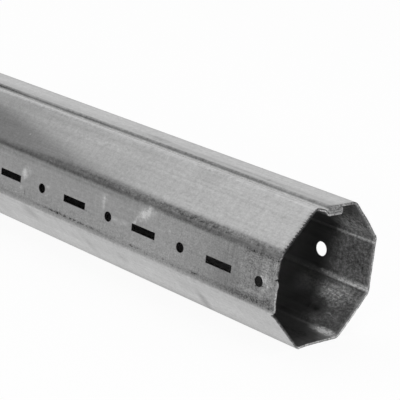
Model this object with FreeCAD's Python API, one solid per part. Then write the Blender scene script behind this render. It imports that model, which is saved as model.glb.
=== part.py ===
"""Octagonal roller tube of sheet steel, roll-formed from one strip.

The strip is bent into an octagon. Its two long edges meet on the top flat, where
each is turned back on itself and hooked into the other, which makes a lock seam
four sheets deep that lies inside the octagon. One sheet laps over from the back.
The other ramps down from the front, steps under the lap and hooks up behind it.

All sizes are in millimetres. X runs along the tube, with the punched end at +X,
Y points to the back flat and Z points up. The tube lies on its bottom flat, and
the origin is in the middle of that flat.
"""

import FreeCAD
import Part

import math
import os
from collections import namedtuple

# Tube
LENGTH = 434.0
ACROSS_FLATS = 60.0
WALL = 1.0
BEND_RADIUS = 2.0
LAP_BEND_RADIUS = 3.5

# Lock seam, with the angles measured down from the top flat
SEAM_WIDTH = 8.7
SEAM_CLEARANCE = 0.1
FOLD_RADIUS = 0.2
TIP_CLEARANCE = 0.3
RAMP_ANGLE = 15.0
STEP_ANGLE = 45.0
KNEE_RADIUS = 1.0

# Punched row in the front flat: round holes with a slot half-way between each two
HOLE_PITCH = 46.0
FIRST_HOLE_INSET = 10.0
HOLE_DIAMETER = 4.2
SLOT_LENGTH = 14.5
SLOT_WIDTH = 3.0
ROW_DROP = 1.0

# Plug screw hole in the back flat
PLUG_HOLE_INSET = 28.8
PLUG_HOLE_DIAMETER = 6.5
PLUG_HOLE_DROP = 1.4

# Overrun of a punch past each face of the wall
PUNCH_OVERRUN = 1.0

ALONG = FreeCAD.Vector(1, 0, 0)
BACK = FreeCAD.Vector(0, 1, 0)
HALF_FLATS = ACROSS_FLATS / 2
HALF_WALL = WALL / 2
LAYER_STEP = WALL + SEAM_CLEARANCE
EIGHTH_TURN = math.radians(45.0)

# A point of the strip's middle line in the YZ plane, and its bend radius there
Corner = namedtuple("Corner", "place radius")


def at(y, z):
    """Point of the cross-section, with z measured from the tube's axis."""
    return FreeCAD.Vector(0, y, z + HALF_FLATS)


def heading(angle):
    """Unit vector in the cross-section, turned by angle from +Y towards +Z."""
    return FreeCAD.Vector(0, math.cos(angle), math.sin(angle))


def middle_radius(inside_radius):
    """Bend radius of the middle line, from the radius inside the bend."""
    return inside_radius + HALF_WALL


def octagon_corner(index, inside_radius):
    """Corner of the middle line's octagon: 0 is top front, then down round the front."""
    angle = math.radians(112.5) + index * EIGHTH_TURN
    reach = (HALF_FLATS - HALF_WALL) / math.cos(EIGHTH_TURN / 2)
    place = at(reach * math.cos(angle), reach * math.sin(angle))
    return Corner(place, middle_radius(inside_radius))


def layer_height(layer):
    """Middle height of a seam layer above the axis: 0 is the top sheet, 3 the lowest."""
    return HALF_FLATS - HALF_WALL - layer * LAYER_STEP


def crossing(place, angle, other_place, other_angle):
    """Point where two lines of the cross-section meet, each a point and its angle."""
    line = heading(angle)
    normal = ALONG.cross(heading(other_angle))
    distance = (other_place - place).dot(normal) / line.dot(normal)
    return place + line * distance


def hooked_edge():
    """Corners of the front edge, from its tip in the seam up to the top front bend."""
    fold = middle_radius(FOLD_RADIUS)
    fold_y = SEAM_WIDTH / 2 - HALF_WALL
    tip_y = -SEAM_WIDTH / 2 + WALL + TIP_CLEARANCE
    tip = Corner(at(tip_y, layer_height(1)), 0.0)
    upper_fold = Corner(at(fold_y, layer_height(1)), fold)
    lower_fold = Corner(at(fold_y, layer_height(3)), fold)

    # The step is bent round the lap's fold, so both share one centre
    step_radius = fold + LAYER_STEP
    step_angle = math.radians(STEP_ANGLE)
    step_y = -SEAM_WIDTH / 2 + HALF_WALL + fold - step_radius * math.tan(step_angle / 2)
    step = Corner(at(step_y, layer_height(3)), step_radius)

    # The top front bend is the octagon's own, carried on past level by the ramp angle
    bend = middle_radius(BEND_RADIUS)
    ramp_angle = math.radians(RAMP_ANGLE)
    turn = EIGHTH_TURN + ramp_angle
    level = HALF_FLATS - HALF_WALL - bend
    bend_centre = at(level * (1 - math.sqrt(2)), level)
    onto_flat = bend_centre + heading(3 * EIGHTH_TURN) * bend
    top = Corner(onto_flat + heading(EIGHTH_TURN) * bend * math.tan(turn / 2), bend)
    knee_place = crossing(step.place, math.pi - step_angle, top.place, -ramp_angle)
    knee = Corner(knee_place, middle_radius(KNEE_RADIUS))
    return [tip, upper_fold, lower_fold, step, knee, top]


def lapped_edge():
    """Corners of the back edge, from the top back bend to its tip in the seam."""
    fold = middle_radius(FOLD_RADIUS)
    fold_y = -SEAM_WIDTH / 2 + HALF_WALL
    tip_y = SEAM_WIDTH / 2 - WALL - TIP_CLEARANCE
    upper_fold = Corner(at(fold_y, layer_height(0)), fold)
    lower_fold = Corner(at(fold_y, layer_height(2)), fold)
    tip = Corner(at(tip_y, layer_height(2)), 0.0)
    return [octagon_corner(7, LAP_BEND_RADIUS), upper_fold, lower_fold, tip]


def strip_path():
    """Middle line of the whole strip, from the hooked edge's tip to the lapped one's."""
    flats = [octagon_corner(index, BEND_RADIUS) for index in range(1, 7)]
    return hooked_edge() + flats + lapped_edge()


def strip_side(path, offset):
    """Edges of one side of the strip, at a distance to the left of its middle line."""
    edges = []
    here = None
    for before, corner, after in zip(path, path[1:], path[2:]):
        into = (corner.place - before.place).normalize()
        out = (after.place - corner.place).normalize()
        turn = math.atan2(into.cross(out).dot(ALONG), into.dot(out))
        sense = math.copysign(1.0, turn)
        reach = corner.radius * math.tan(abs(turn) / 2)
        arc_start = corner.place - into * reach
        centre = arc_start + ALONG.cross(into) * corner.radius * sense
        outward = (corner.place - centre).normalize()
        start = arc_start + ALONG.cross(into) * offset
        middle = centre + outward * (corner.radius - offset * sense)
        end = corner.place + out * reach + ALONG.cross(out) * offset
        if here is None:
            here = before.place + ALONG.cross(into) * offset
        edges.append(Part.LineSegment(here, start).toShape())
        edges.append(Part.Arc(start, middle, end).toShape())
        here = end
    last = path[-1].place + ALONG.cross(out) * offset
    edges.append(Part.LineSegment(here, last).toShape())
    return edges


def strip_section():
    """Face of the bent strip, square to the tube."""
    path = strip_path()
    inner = strip_side(path, HALF_WALL)
    outer = strip_side(path, -HALF_WALL)
    first_cap = Part.LineSegment(outer[0].firstVertex().Point, inner[0].firstVertex().Point)
    last_cap = Part.LineSegment(inner[-1].lastVertex().Point, outer[-1].lastVertex().Point)
    loop = inner + [last_cap.toShape()] + outer[::-1] + [first_cap.toShape()]
    return Part.Face(Part.Wire(loop))


def bent_strip():
    """The whole strip, bent and cut to length, before it is punched."""
    section = strip_section()
    section.translate(ALONG * (-LENGTH / 2))
    return section.extrude(ALONG * LENGTH)


def hole_places():
    """Places of the round holes along X, from the punched end."""
    count = int((LENGTH - 2 * FIRST_HOLE_INSET) / HOLE_PITCH + 1e-6) + 1
    first = LENGTH / 2 - FIRST_HOLE_INSET
    return [first - index * HOLE_PITCH for index in range(count)]


def slot_places():
    """Middles of the slots along X, each half-way between two round holes."""
    holes = hole_places()
    return [(one + other) / 2 for one, other in zip(holes, holes[1:])]


def round_punch(x, wall_y, drop, diameter):
    """Punch for a round hole in the front or back flat, at a drop below its middle."""
    depth = WALL + 2 * PUNCH_OVERRUN
    start = at(wall_y - depth / 2, -drop) + ALONG * x
    return Part.makeCylinder(diameter / 2, depth, start, BACK)


def slot_punch(x, wall_y, drop):
    """Punch for a square-cornered slot along the tube, at a drop below a flat's middle."""
    depth = WALL + 2 * PUNCH_OVERRUN
    corner = at(wall_y - depth / 2, -drop - SLOT_WIDTH / 2) + ALONG * (x - SLOT_LENGTH / 2)
    return Part.makeBox(SLOT_LENGTH, depth, SLOT_WIDTH, corner)


def punches():
    """Every punch: the row in the front flat and the plug screw hole in the back one."""
    front = HALF_WALL - HALF_FLATS
    back = HALF_FLATS - HALF_WALL
    plug_x = LENGTH / 2 - PLUG_HOLE_INSET
    tools = [round_punch(x, front, ROW_DROP, HOLE_DIAMETER) for x in hole_places()]
    tools += [slot_punch(x, front, ROW_DROP) for x in slot_places()]
    tools.append(round_punch(plug_x, back, PLUG_HOLE_DROP, PLUG_HOLE_DIAMETER))
    return tools


def octagonal_tube():
    """The finished tube."""
    return bent_strip().cut(punches())


os.makedirs("parts", exist_ok=True)
tube = octagonal_tube()
tube.exportStep("parts/octagonal_tube.step")
print("solids", len(tube.Solids), "valid", tube.isValid())
print("volume", round(tube.Volume, 1), "box", tube.BoundBox)
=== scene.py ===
"""Octagonal roller tube, dressed as roll-formed and zinc-coated sheet steel.

The tube is one strip of sheet, so everything on it is worked out on the flat strip and
then bent. A place on the strip has three measures in metres:

along   - distance along the tube, the same as X, with the punched end at +X
across  - distance over the strip's middle line, 0 in the middle of the front flat and
          growing downwards from there, round the bottom and the back to the top
depth   - distance into the wall from the face that is outside on the finished tube
"""

import logging
import math
from collections.abc import Iterable
from dataclasses import dataclass, field
from enum import Enum
from functools import reduce

import bpy
import numpy as np
from mathutils import Matrix, Vector


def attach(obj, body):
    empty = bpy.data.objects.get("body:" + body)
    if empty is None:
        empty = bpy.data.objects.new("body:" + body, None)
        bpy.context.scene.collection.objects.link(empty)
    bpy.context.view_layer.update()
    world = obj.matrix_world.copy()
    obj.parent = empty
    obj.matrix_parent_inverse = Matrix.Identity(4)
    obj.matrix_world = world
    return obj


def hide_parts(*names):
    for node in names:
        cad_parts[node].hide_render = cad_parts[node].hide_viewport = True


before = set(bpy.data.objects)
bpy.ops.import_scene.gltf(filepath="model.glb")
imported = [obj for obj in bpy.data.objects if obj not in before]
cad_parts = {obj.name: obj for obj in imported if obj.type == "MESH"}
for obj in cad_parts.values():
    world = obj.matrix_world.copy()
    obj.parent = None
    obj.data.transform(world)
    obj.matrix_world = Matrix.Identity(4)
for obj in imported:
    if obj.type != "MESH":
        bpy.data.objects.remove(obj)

CAD_NODE = "octagonal_tube"
PLACE_ATTRIBUTE = "strip_place"
WEAR_AND_PAINTED_LIGHT_ATTRIBUTE = "wear"
SHADE_ATTRIBUTE = "shade"
CUT_ATTRIBUTE = "cut_tone"
EIGHTH_TURN = math.pi / 4
WELD = 1e-7
SHARP_ANGLE = math.radians(40.0)
CHANCE_HEIGHTS = 4096
TUBE_LENGTH = 0.434
MOUTH = TUBE_LENGTH / 2

# A place, a size, a colour, or the three measures of a table's row
Triple = tuple[float, float, float]

# What a shader's input takes: the output of another node, or a number or a row of them
Socket = bpy.types.NodeSocket
Input = Socket | float | Triple

# Four edges of a window: it rises between the first two and falls between the last two
Edges = tuple[float, float, float, float]
EVERYWHERE = (-2.0, -1.0, 1.0, 2.0)

LOG = logging.getLogger("tube")


def smooth_step(low: float, high: float, value: np.ndarray) -> np.ndarray:
    """Smooth rise from 0 at low to 1 at high, by the formula 3t^2 - 2t^3.

    Args:
        low: Where the rise starts. It may be above high, and then the step falls.
        high: Where it ends.
        value: Values to map.

    Returns:
        The risen values, from 0 to 1.
    """
    t = np.clip((value - low) / (high - low), 0.0, 1.0)
    return t * t * (3.0 - 2.0 * t)


def window(edges: Edges, value: np.ndarray) -> np.ndarray:
    """Smooth rise between the first two edges times smooth fall between the last two."""
    return smooth_step(edges[0], edges[1], value) * (1.0 - smooth_step(edges[2], edges[3], value))


def until(start: float, end: float) -> Edges:
    """Edges of a window that is open up to start and falls from there to end."""
    return -2.0, -1.0, start, end


def beyond(start: float, end: float) -> Edges:
    """Edges of a window that rises from start to end and stays open."""
    return start, end, 1.0, 2.0


def wander(value: np.ndarray, pitch: float, seed: int) -> np.ndarray:
    """Smooth random line: chance heights one pitch apart, joined by smooth steps.

    Args:
        value: Where to read the line.
        pitch: Distance between two heights.
        seed: Seed of the heights.

    Returns:
        The line's heights, from -1 to 1.
    """
    heights = np.random.default_rng(seed).uniform(-1.0, 1.0, CHANCE_HEIGHTS)
    t = value / pitch + CHANCE_HEIGHTS / 2
    low = np.floor(t).astype(int)
    rise = smooth_step(0.0, 1.0, t - low)
    return heights[low] * (1.0 - rise) + heights[low + 1] * rise


def placed(name: str, data: bpy.types.ID) -> bpy.types.Object:
    """Makes an object of a mesh, a lamp or a camera and puts it in the scene."""
    thing = bpy.data.objects.new(name, data)
    bpy.context.scene.collection.objects.link(thing)
    return thing


class HoleShape(Enum):
    """Outline of a punched hole."""

    ROUND = "round"
    SLOT = "slot"


class Cut(Enum):
    """Faces of the strip, by how they were made. The value is the material index."""

    ROLLED_OUTSIDE = 0
    ROLLED_INSIDE = 1
    SAWN = 2
    PUNCHED = 3


# Edges across the strip of the areas that tear, darken or lighten alike, by painted shade and light
# among other changes of tone
PUNCHED_FLAT = (-0.0125, -0.0110, 0.0110, 0.0120)
UPPER_FLAT = (-0.0366, -0.0356, -0.0125, -0.0115)
LOWER_FLAT = (0.0118, 0.0126, 0.0385, 0.0410)
LAP = (0.1424, 0.1458, 0.1500, 0.1503)
LAP_FLANK = (0.1500, 0.1505, 0.1514, 0.1518)
TOP_FLAT = beyond(0.134, 0.136)
HOOKED_RAMP = (-0.0462, -0.0450, -0.0392, -0.0378)


@dataclass(frozen=True)
class Zone:
    """A value on part of the strip, with soft edges."""

    value: float
    across: Edges
    from_end: Edges = EVERYWHERE

    def spread(self, across: np.ndarray, from_end: np.ndarray) -> np.ndarray:
        """The value at each place, which fades out over the zone's edges."""
        return self.value * window(self.across, across) * window(self.from_end, from_end)


def bands(rows: tuple[Triple, ...], core: float,
          across: np.ndarray) -> np.ndarray:
    """Sum of soft bands that run along the tube.

    Args:
        rows: Place, half width and strength of each band.
        core: Share of the half width that has the full strength.
        across: Places across the strip.

    Returns:
        Strength at each place.
    """
    return sum(strength * smooth_step(half, core * half, np.abs(across - middle))
               for middle, half, strength in rows)


def total_of(zones: tuple[Zone, ...], across: np.ndarray, from_end: np.ndarray) -> np.ndarray:
    """Sum of several zones at each place."""
    return sum(zone.spread(across, from_end) for zone in zones)


@dataclass(frozen=True)
class Run:
    """A straight or an arc of the strip's middle line, seen along the tube."""

    start: float
    length: float
    y: float
    z: float
    heading: float
    curvature: float


@dataclass
class StripSection:
    """Cross-section of the bent strip: an octagon closed by a lock seam on the top flat."""

    across_flats: float = 0.060
    wall: float = 0.001
    bend_radius: float = 0.002
    lap_bend_radius: float = 0.0035
    seam_width: float = 0.0087
    seam_clearance: float = 0.0001
    fold_radius: float = 0.0002
    tip_clearance: float = 0.0003
    ramp_angle: float = math.radians(15.0)
    step_angle: float = math.radians(45.0)
    knee_radius: float = 0.001
    flat_step: float = 0.0005
    torn_step: float = 0.00023
    shortest_flat: float = 0.02
    arc_step: float = math.radians(7.5)
    runs: list[Run] = field(default_factory=list)

    def __post_init__(self) -> None:
        """Works out the runs once, when the section is made."""
        self.runs = self._runs()

    def _layer(self, layer: int) -> float:
        """Middle height of a seam layer above the axis: 0 is the top sheet, 3 the lowest."""
        return (self.across_flats - self.wall) / 2 - layer * (self.wall + self.seam_clearance)

    def _corner(self, index: int, inside_radius: float) -> Triple:
        """Corner of the middle line's octagon, from the top front one down round the front.

        Args:
            index: 0 for the top front corner, up to 7 for the top back one.
            inside_radius: Radius inside the bend.

        Returns:
            Y, height above the axis and middle radius of the bend.
        """
        angle = 2.5 * EIGHTH_TURN + index * EIGHTH_TURN
        reach = (self.across_flats - self.wall) / 2 / math.cos(EIGHTH_TURN / 2)
        return reach * math.cos(angle), reach * math.sin(angle), inside_radius + self.wall / 2

    def _hooked_edge(self) -> list[Triple]:
        """Corners of the front edge, from its tip in the seam up to the top front bend.

        Returns:
            Y, height above the axis and middle radius of each.
        """
        half_wall = self.wall / 2
        fold = self.fold_radius + half_wall
        fold_y = self.seam_width / 2 - half_wall
        tip_y = -self.seam_width / 2 + self.wall + self.tip_clearance
        step_radius = fold + self.wall + self.seam_clearance
        step_y = half_wall + fold - self.seam_width / 2
        step_y -= step_radius * math.tan(self.step_angle / 2)
        step = np.array([step_y, self._layer(3)])

        # The top front bend is the octagon's own, carried on past level by the ramp
        bend = self.bend_radius + half_wall
        turn = EIGHTH_TURN + self.ramp_angle
        level = self.across_flats / 2 - half_wall - bend
        onto = np.array([level * (1 - math.sqrt(2)), level]) + np.array([-bend, bend]) / math.sqrt(2)
        top = onto + np.array([1.0, 1.0]) / math.sqrt(2) * bend * math.tan(turn / 2)

        # The knee is where the line up from the step meets the ramp
        rising = np.array([-math.cos(self.step_angle), math.sin(self.step_angle)])
        ramp_normal = np.array([math.sin(self.ramp_angle), math.cos(self.ramp_angle)])
        knee = step + rising * float((top - step) @ ramp_normal) / float(rising @ ramp_normal)
        return [
            (tip_y, self._layer(1), 0.0),
            (fold_y, self._layer(1), fold),
            (fold_y, self._layer(3), fold),
            (step[0], step[1], step_radius),
            (knee[0], knee[1], self.knee_radius + half_wall),
            (top[0], top[1], bend),
        ]

    def _lapped_edge(self) -> list[Triple]:
        """Corners of the back edge, from the top back bend to its tip in the seam.

        Returns:
            Y, height above the axis and middle radius of each.
        """
        fold = self.fold_radius + self.wall / 2
        fold_y = self.wall / 2 - self.seam_width / 2
        tip_y = self.seam_width / 2 - self.wall - self.tip_clearance
        return [
            self._corner(7, self.lap_bend_radius),
            (fold_y, self._layer(0), fold),
            (fold_y, self._layer(2), fold),
            (tip_y, self._layer(2), 0.0),
        ]

    def _runs(self) -> list[Run]:
        """Straights and arcs of the middle line.

        Each corner is rounded by an arc tangent to its two straights, which starts
        radius times the tangent of half the turn before it.

        Returns:
            The runs in order, measured from the middle of the front flat.
        """
        hooked = self._hooked_edge()
        flats = [self._corner(index, self.bend_radius) for index in range(1, 7)]
        path = np.array(hooked + flats + self._lapped_edge())
        legs = np.diff(path[:, :2], axis=0)
        headings = np.unwrap(np.arctan2(legs[:, 1], legs[:, 0]))
        turns = np.append(np.diff(headings), 0.0)
        reaches = path[1:, 2] * np.tan(np.abs(turns) / 2)
        before = np.concatenate([[0.0], reaches[:-1]])
        runs = []
        start = 0.0
        middle = 0.0
        for index, heading in enumerate(headings):
            aim = np.array([math.cos(heading), math.sin(heading)])
            place = path[index, :2] + aim * before[index]
            straight = float(np.hypot(*legs[index])) - before[index] - reaches[index]
            runs.append(Run(start, straight, place[0], place[1], heading, 0.0))
            if index == len(hooked):
                middle = start + straight / 2
            start += straight
            if turns[index]:
                place = path[index + 1, :2] - aim * reaches[index]
                radius = path[index + 1, 2]
                arc = abs(turns[index]) * radius
                bend = math.copysign(1.0 / radius, turns[index])
                runs.append(Run(start, arc, place[0], place[1], heading, bend))
                start += arc
        return [Run(r.start - middle, r.length, r.y, r.z, r.heading, r.curvature) for r in runs]

    def _step(self, run: Run) -> float:
        """Distance between stations on a run, smallest on the upper flat that the saw tore."""
        if run.curvature:
            return self.arc_step / abs(run.curvature)
        torn = run.start + run.length < 0.0 and run.length > self.shortest_flat
        return self.torn_step if torn else self.flat_step

    def stations(self) -> np.ndarray:
        """Places across the strip where the mesh has a line of points, close on the bends.

        Returns:
            The stations in order, with each run's ends among them.
        """
        parts = []
        for run in self.runs:
            count = max(math.ceil(run.length / self._step(run) - 1e-6), 1)
            parts.append(np.linspace(run.start, run.start + run.length, count + 1)[:-1])
        last = self.runs[-1]
        return np.concatenate(parts + [[last.start + last.length]])

    def locate(self, across: np.ndarray, depth: np.ndarray) -> tuple[np.ndarray, np.ndarray]:
        """Bends the strip: on an arc, the heading grows by curvature times distance.

        The middle line is the integral of its heading, and a point sits beside it, along
        the left normal, by its depth less half the wall.

        Args:
            across: Places across the strip.
            depth: Depths into the wall.

        Returns:
            Y and Z of the points in the tube's frame.
        """
        table = np.array([(r.start, r.y, r.z, r.heading, r.curvature) for r in self.runs])
        which = np.clip(np.searchsorted(table[:, 0], across + WELD / 2) - 1, 0, len(table) - 1)
        start, y, z, heading, curvature = table[which].T
        gone = across - start
        ahead = heading + curvature * gone
        bent = np.abs(curvature) > 0
        safe = np.where(bent, curvature, 1.0)
        y = y + np.where(bent, (np.sin(ahead) - np.sin(heading)) / safe, gone * np.cos(heading))
        z = z + np.where(bent, (np.cos(heading) - np.cos(ahead)) / safe, gone * np.sin(heading))
        beside = depth - self.wall / 2
        return y - np.sin(ahead) * beside, z + np.cos(ahead) * beside + self.across_flats / 2


@dataclass(frozen=True)
class Punching:
    """One punched hole in the strip."""

    shape: HoleShape
    along: float
    across: float
    half_length: float
    half_width: float

    def outline(self, inset: float, lengthwise: int, crosswise: int) -> np.ndarray:
        """Outline of the hole, widened by an inset, anticlockwise from its low corner.

        A slot's sides are divided evenly. A round hole is a circle divided evenly, which
        starts at the angle that its low corner has in the surrounding rectangle.

        Args:
            inset: How far the outline stands back from the hole's edge.
            lengthwise: Pieces on each side along the tube.
            crosswise: Pieces on each side across the strip.

        Returns:
            Points as rows of along and across.
        """
        if self.shape is HoleShape.ROUND:
            count = 2 * (lengthwise + crosswise)
            first = 1.5 * math.pi - math.pi * lengthwise / count
            angle = first + 2 * math.pi * np.arange(count) / count
            radius = self.half_length + inset
            circle = np.stack([np.cos(angle), np.sin(angle)], 1)
            return (self.along, self.across) + radius * circle
        reach = self.half_length + inset
        width = self.half_width + inset
        xs = np.linspace(self.along - reach, self.along + reach, lengthwise + 1)
        ss = np.linspace(self.across - width, self.across + width, crosswise + 1)
        return rectangle(xs, ss)

    def cell(self, across: np.ndarray, margin: float) -> tuple[int, int]:
        """Stations nearest to a margin on each side of the hole's middle.

        Args:
            across: Stations across the strip.
            margin: Distance from the middle.

        Returns:
            Indices of the station before the middle and of the one after it.
        """
        sides = (self.across - margin, self.across + margin)
        low, high = (int(np.argmin(np.abs(across - side))) for side in sides)
        return low, high


def rectangle(along: np.ndarray, across: np.ndarray) -> np.ndarray:
    """Closed rectangle through given stations, anticlockwise from its low corner.

    Args:
        along: Rising stations of the two sides along the tube.
        across: Rising stations of the two sides across the strip.

    Returns:
        Points as rows of along and across, each corner once.
    """
    low = np.stack([along[:-1], np.full(len(along) - 1, across[0])], 1)
    near = np.stack([np.full(len(across) - 1, along[-1]), across[:-1]], 1)
    high = np.stack([along[:0:-1], np.full(len(along) - 1, across[-1])], 1)
    far = np.stack([np.full(len(across) - 1, along[0]), across[:0:-1]], 1)
    return np.concatenate([low, near, high, far])


def at_depth(points: np.ndarray, depth: float) -> np.ndarray:
    """Adds one depth to rows of along and across."""
    return np.concatenate([points, np.full(points.shape[:-1] + (1,), depth)], -1)


def rings(loops: np.ndarray) -> np.ndarray:
    """Quads between each closed loop and the next one outside it.

    Args:
        loops: Loops of equal count, as loops by points by measures.

    Returns:
        Quads as faces by four corners by measures.
    """
    turned = np.roll(loops, -1, axis=1)
    quads = np.stack([loops[:-1], loops[1:], turned[1:], turned[:-1]], 2)
    return quads.reshape(-1, 4, loops.shape[-1])


@dataclass(frozen=True)
class Nick:
    """A place where the saw bit deeper, or left a burr where the bite is below 0."""

    across: float
    half_width: float
    bite: float


@dataclass(frozen=True)
class Teeth:
    """One series of saw teeth, whose place drifts along the cut."""

    pitch: float
    drift: float
    drift_pitch: float

    def bites(self, across: np.ndarray, seed: int) -> np.ndarray:
        """Squares of the upper halves of a sine with a wandering phase."""
        phase = across / self.pitch + self.drift * wander(across, self.drift_pitch, seed)
        return np.clip(np.sin(2 * math.pi * phase), 0.0, 1.0) ** 2


# Tone of the sawn ring. Each row has a place across the strip, the tone at the outside
# face and the tone at the inside one
RING_TONES = (
    (-0.0620, 0.90, 1.05),
    (-0.0460, 0.90, 1.05),
    (-0.0445, 0.15, 1.20),
    (-0.0392, 0.15, 1.20),
    (-0.0370, 0.60, 0.45),
    (-0.0340, 0.48, 0.12),
    (-0.0145, 0.48, 0.12),
    (-0.0128, 0.65, 0.60),
    (-0.0116, 0.65, 0.50),
    (-0.0100, 0.70, 0.12),
    (-0.0025, 0.75, 0.15),
    (-0.0010, 0.95, 0.85),
    (0.0025, 1.00, 0.90),
    (0.0105, 0.95, 0.75),
    (0.0120, 0.45, 0.15),
    (0.0140, 0.45, 0.08),
    (0.0350, 0.45, 0.10),
    (0.0375, 0.60, 0.90),
    (0.0410, 0.50, 0.75),
    (0.0590, 0.50, 0.80),
    (0.0620, 0.80, 1.20),
    (0.0840, 0.85, 1.25),
    (0.1080, 0.85, 1.30),
    (0.1120, 0.75, 1.10),
    (0.1320, 0.75, 1.00),
    (0.1460, 0.90, 1.10),
    (0.1580, 0.85, 1.00),
)


@dataclass
class SawnEnd:
    """Shape and tone of the saw cut, which stands back from the tube's full length."""

    reach: float = 0.0035
    recess: float = 0.0004
    waves: tuple[tuple[float, float], ...] = ((0.00010, 0.011), (0.00007, 0.0019))
    coarse_teeth: Teeth = Teeth(0.00135, 0.5, 0.0026)
    fine_teeth: Teeth = Teeth(0.0008, 0.3, 0.0017)
    fine_share: float = 0.60
    depth_middle: float = 0.62
    depth_change: float = 0.38
    depth_pitch: float = 0.0009
    tooth_bite: float = 0.0012
    tone_change: float = 0.25
    tone_pitch: float = 0.0012
    seed: int = 11
    least_torn: float = 0.12
    torn_zones: tuple[Zone, ...] = (
        Zone(0.88, (-0.0365, -0.0340, -0.0150, -0.0130)),
        Zone(0.68, HOOKED_RAMP),
        Zone(0.25, TOP_FLAT),
    )
    nicks: tuple[Nick, ...] = (
        Nick(-0.0121, 0.0011, -0.0004),
        Nick(-0.0021, 0.0006, 0.0014),
        Nick(-0.0056, 0.0004, 0.0005),
        Nick(-0.0047, 0.0028, 0.0005),
        Nick(0.0002, 0.0019, -0.0004),
        Nick(0.0100, 0.0040, -0.0004),
        Nick(0.0127, 0.0011, 0.0014),
        Nick(-0.0244, 0.0120, -0.0002),
        Nick(0.0372, 0.0016, -0.0003),
        Nick(0.1452, 0.0008, -0.0004),
    )

    def torn(self, across: np.ndarray) -> np.ndarray:
        """Share of the full bite: 1 along the upper front flat, less on the ramp and the top."""
        return self.least_torn + total_of(self.torn_zones, across, np.zeros_like(across))

    def teeth(self, across: np.ndarray, seed: int) -> np.ndarray:
        """Narrow bites of uneven depth and place, and finer ones between them.

        Args:
            across: Places across the strip.
            seed: Seed of the wandering.

        Returns:
            Depth of the bites, about 1 at the deepest.
        """
        depth = self.depth_middle + self.depth_change * wander(across, self.depth_pitch, seed + 5)
        coarse = self.coarse_teeth.bites(across, seed) * depth
        return coarse + self.fine_share * self.fine_teeth.bites(across, seed + 6)

    def set_back(self, across: np.ndarray, depth: np.ndarray, end: int) -> np.ndarray:
        """Distance that the cut lies inside the full length.

        A level recess, slow waves, the teeth, which are deepest at the outside face, and
        on the punched end the nicks.

        Args:
            across: Places across the strip.
            depth: Depths as a share of the wall.
            end: 1 for the punched end and -1 for the far end.

        Returns:
            Distances in metres, none below 0.
        """
        seed = self.seed + 7 * end
        total = self.recess
        for shift, (height, pitch) in enumerate(self.waves):
            total = total + height * wander(across, pitch, seed + shift)
        outside = 1.0 - smooth_step(0.1, 0.95, depth)
        total = total + self.tooth_bite * self.teeth(across, seed + 2) * self.torn(across) * outside
        for nick in self.nicks if end > 0 else ():
            share = 1 - smooth_step(0.0, nick.half_width, np.abs(across - nick.across))
            total = total + nick.bite * share * (1.0 if nick.bite < 0 else 1 - 0.4 * depth)
        return np.clip(total, 0.0, None)

    def tone(self, across: np.ndarray, depth: np.ndarray) -> np.ndarray:
        """Tone of the cut face round the ring: dark on the front, bright behind.

        Args:
            across: Places across the strip.
            depth: Depths as a share of the wall.

        Returns:
            Factor for the bare steel's tone.
        """
        places, outer, inner = np.array(RING_TONES).T
        share = smooth_step(0.1, 0.8, depth)
        tone = np.interp(across, places, outer) * (1 - share)
        tone = tone + np.interp(across, places, inner) * share
        return tone * (1 + self.tone_change * wander(across, self.tone_pitch, self.seed + 20))


# Roll band over the upper front bend. Each row has a distance from the punched end, the
# band's lower edge, the place of its full tone and its upper edge, its strength, and the
# share that it loses on the punched flat
ROLL_BAND = (
    (0.0000, -0.0090, -0.0140, -0.0162, 0.72, 0.22),
    (0.0125, -0.0095, -0.0139, -0.0163, 0.78, 0.45),
    (0.0215, -0.0103, -0.0139, -0.0164, 0.75, 0.58),
    (0.0330, -0.0103, -0.0138, -0.0166, 0.86, 0.32),
    (0.0445, -0.0102, -0.0138, -0.0167, 0.92, 0.25),
    (0.0560, -0.0104, -0.0136, -0.0169, 0.94, 0.28),
    (0.0675, -0.0103, -0.0137, -0.0171, 0.86, 0.27),
    (0.0790, -0.0106, -0.0136, -0.0174, 0.71, 0.36),
    (0.1020, -0.0110, -0.0133, -0.0175, 0.73, 0.34),
    (0.1135, -0.0111, -0.0133, -0.0172, 0.71, 0.24),
    (0.1250, -0.0112, -0.0136, -0.0172, 0.59, 0.22),
    (0.1365, -0.0112, -0.0138, -0.0173, 0.60, 0.22),
    (0.1480, -0.0113, -0.0133, -0.0163, 0.58, 0.22),
    (0.1650, -0.0114, -0.0124, -0.0150, 0.50, 0.22),
)

ROLL_BAND_SOFTNESS = 0.0007

# A cleaner ridge on that bend, and a darker strip below it far from the end
CLEAN_RIDGE = Zone(-0.15, (-0.01285, -0.01245, -0.01205, -0.01165))
DARK_STRIP_BELOW_RIDGE = Zone(0.2, (-0.0125, -0.0115, -0.0098, -0.0082), beyond(0.070, 0.095))

# Darkening of the lap's rounded fold: its strength, how far and at what pitch that wanders,
# and the place of the lap's edge at two distances from the punched end
LAP_FOLD_DARKENING = 0.54
LAP_FOLD_DARKENING_CHANGE = 0.18
LAP_FOLD_DARKENING_PITCH = 0.021
LAP_FOLD_DARKENING_SOFTNESS = 0.0003
LAP_EDGE = ((0.120, 0.160), (0.1499, 0.1503))

# Share of a band's half width that has its full strength, outside and inside
BEND_BAND_CORE = 0.25
HIGHLIGHT_CORE = 0.2

# Other bends, worn; on the bend below the lower front flat the band is painted shade. Each
# row has a place across the strip, a half width and a strength
WORN_AND_SHADED_BENDS = (
    (-0.0366, 0.0014, 0.12),
    # Painted shade on the bend below the lower front flat, where it mirrors the bright floor
    (0.0366, 0.0022, 0.22),
    (0.0609, 0.0028, 0.35),
    (0.0852, 0.0030, 0.55),
    (0.1095, 0.0030, 0.55),
    (0.1338, 0.0030, 0.18),
)
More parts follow.
